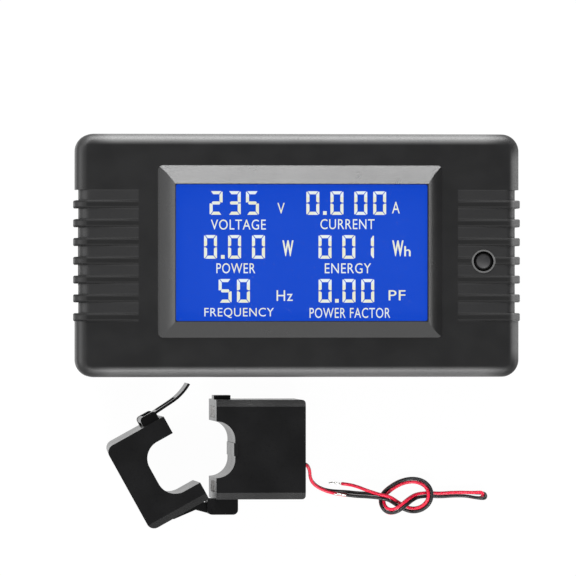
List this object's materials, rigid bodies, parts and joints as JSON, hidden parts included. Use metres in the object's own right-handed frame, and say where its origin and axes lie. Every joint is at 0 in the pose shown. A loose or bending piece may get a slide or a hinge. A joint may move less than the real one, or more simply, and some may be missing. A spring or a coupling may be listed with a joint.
{
  "type": "ac power meter",
  "caption": "Panel meter with a lit blue display and push button, and the open split-core current transformer whose two knotted leads it reads.",
  "frame": {"origin": "centre of the meter's rear face, which lies on the table", "axes": "+X to the reader's right along the meter's length, +Y up the display, +Z out of the display"},
  "size_m": [0.0902, 0.0795, 0.0244],
  "materials": {
    "front_black": "satin, fine grain",
    "case_black": "fine grain",
    "window_clear": "clear",
    "lcd_glass": "polarised blue glass",
    "backlight_blue": "lit",
    "frame_white": "matt",
    "tinned": "tinned",
    "button_black": "satin",
    "switch_black": "matt",
    "plunger_brown": "matt",
    "screw_steel": "zinc plated",
    "board_green": "solder mask",
    "terminal_black": "matt",
    "terminal_metal": "plated brass",
    "film_yellow": "gloss",
    "can_sleeve": "gloss",
    "varistor_blue": "coated",
    "resistor_green": "coated",
    "ferrite_grey": "sintered",
    "chip_black": "moulded",
    "crystal_can": "plated",
    "transformer_black": "fine grain",
    "core_dark": "stacked sheet",
    "bobbin_white": "matt",
    "winding_copper": "enamelled copper",
    "spring_steel": "bright",
    "lead_red": "soft gloss",
    "lead_black": "soft gloss",
    "grommet_rubber": "matt"
  },
  "bodies": {
    "meter": {"front_shell": "front_black", "lcd_window": "window_clear", "lcd_glass": "lcd_glass", "lcd_backlight": "backlight_blue", "lcd_frame": "frame_white", "lcd_pins": "tinned", "switch_body": "switch_black", "rear_case": "case_black", "case_screws": "screw_steel", "board_screws": "screw_steel", "main_board": "board_green", "terminal_block": "terminal_black", "terminal_contacts": "tinned", "x2_capacitor": "film_yellow", "electrolytic_capacitor": "can_sleeve", "varistor": "varistor_blue", "fuse_resistor": "resistor_green", "inductor": "ferrite_grey", "metering_chip": "chip_black", "controller_chip": "chip_black", "memory_chip": "chip_black", "crystal": "crystal_can", "bridge_rectifier": "chip_black", "small_resistors": "chip_black"},
    "button": {"button_cap": "button_black"},
    "switch_plunger": {"switch_plunger": "plunger_brown"},
    "snap_left": {"snap_left": "case_black"},
    "snap_right": {"snap_right": "case_black"},
    "terminal_screw_1": {"terminal_screw_1": "screw_steel"},
    "terminal_cage_1": {"terminal_cage_1": "terminal_metal"},
    "terminal_screw_2": {"terminal_screw_2": "screw_steel"},
    "terminal_cage_2": {"terminal_cage_2": "terminal_metal"},
    "terminal_screw_3": {"terminal_screw_3": "screw_steel"},
    "terminal_cage_3": {"terminal_cage_3": "terminal_metal"},
    "terminal_screw_4": {"terminal_screw_4": "screw_steel"},
    "terminal_cage_4": {"terminal_cage_4": "terminal_metal"},
    "transformer": {"ct_body_shell": "transformer_black", "ct_body_cover": "transformer_black", "ct_window_tab": "transformer_black", "ct_core_fixed": "core_dark", "ct_bobbin": "bobbin_white", "ct_winding": "winding_copper", "ct_hinge_pin": "transformer_black", "ct_lead_grommet": "grommet_rubber", "ct_lead_red": "lead_red", "ct_lead_black": "lead_black", "ct_tip_red": "tinned", "ct_tip_black": "tinned"},
    "jaw": {"ct_jaw_shell": "transformer_black", "ct_jaw_cover": "transformer_black", "ct_core_moving": "core_dark", "ct_core_spring": "spring_steel", "ct_latch_pin": "transformer_black"},
    "latch": {"ct_latch_strap": "transformer_black"}
  },
  "joints": [
    {"name": "button_press", "type": "slide", "parent": "meter", "child": "button", "axis": [0, 0, -1], "range_m": [0, 0.00035], "stiffness_N_per_m": 500},
    {"name": "button_plunger", "type": "slide", "parent": "meter", "child": "switch_plunger", "axis": [0, 0, -1], "range_m": [0, 0.00036]},
    {"name": "transformer_pull", "type": "slide", "parent": "meter", "child": "transformer", "axis": [0, -1, 0], "range_m": [0, 0.05]},
    {"name": "jaw_hinge", "type": "hinge", "parent": "transformer", "child": "jaw", "pos_m": [-0.01642, -0.05137, 0.0101], "axis": [0, 0, 1], "range_deg": [-29, 30]},
    {"name": "latch_hinge", "type": "hinge", "parent": "jaw", "child": "latch", "pos_m": [-0.0307, -0.03333, 0.0103], "axis": [0, 0, 1], "range_deg": [-5.1, 20]},
    {"name": "snap_left_flex", "type": "hinge", "parent": "meter", "child": "snap_left", "pos_m": [-0.042, 0, 0.0032], "axis": [0, 1, 0], "range_deg": [0, 8], "stiffness_Nm_per_rad": 1},
    {"name": "snap_right_flex", "type": "hinge", "parent": "meter", "child": "snap_right", "pos_m": [0.042, 0, 0.0032], "axis": [0, -1, 0], "range_deg": [0, 8], "stiffness_Nm_per_rad": 1},
    {"name": "terminal_1_turn", "type": "hinge", "parent": "meter", "child": "terminal_screw_1", "pos_m": [-0.01143, -0.0185, 0.005], "axis": [0, 0, 1], "range_deg": [0, 1800]},
    {"name": "terminal_1_rise", "type": "slide", "parent": "meter", "child": "terminal_cage_1", "axis": [0, 0, -1], "range_m": [0, 0.0024]},
    {"name": "terminal_2_turn", "type": "hinge", "parent": "meter", "child": "terminal_screw_2", "pos_m": [-0.00381, -0.0185, 0.005], "axis": [0, 0, 1], "range_deg": [0, 1800]},
    {"name": "terminal_2_rise", "type": "slide", "parent": "meter", "child": "terminal_cage_2", "axis": [0, 0, -1], "range_m": [0, 0.0024]},
    {"name": "terminal_3_turn", "type": "hinge", "parent": "meter", "child": "terminal_screw_3", "pos_m": [0.00381, -0.0185, 0.005], "axis": [0, 0, 1], "range_deg": [0, 1800]},
    {"name": "terminal_3_rise", "type": "slide", "parent": "meter", "child": "terminal_cage_3", "axis": [0, 0, -1], "range_m": [0, 0.0024]},
    {"name": "terminal_4_turn", "type": "hinge", "parent": "meter", "child": "terminal_screw_4", "pos_m": [0.01143, -0.0185, 0.005], "axis": [0, 0, 1], "range_deg": [0, 1800]},
    {"name": "terminal_4_rise", "type": "slide", "parent": "meter", "child": "terminal_cage_4", "axis": [0, 0, -1], "range_m": [0, 0.0024]}
  ],
  "couplings": [
    {"joint": "button_plunger", "follows": "button_press", "ratio": 1},
    {"joint": "terminal_1_turn", "follows": "terminal_1_rise", "rad_per_m": 12566},
    {"joint": "terminal_2_turn", "follows": "terminal_2_rise", "rad_per_m": 12566},
    {"joint": "terminal_3_turn", "follows": "terminal_3_rise", "rad_per_m": 12566},
    {"joint": "terminal_4_turn", "follows": "terminal_4_rise", "rad_per_m": 12566}
  ]
}
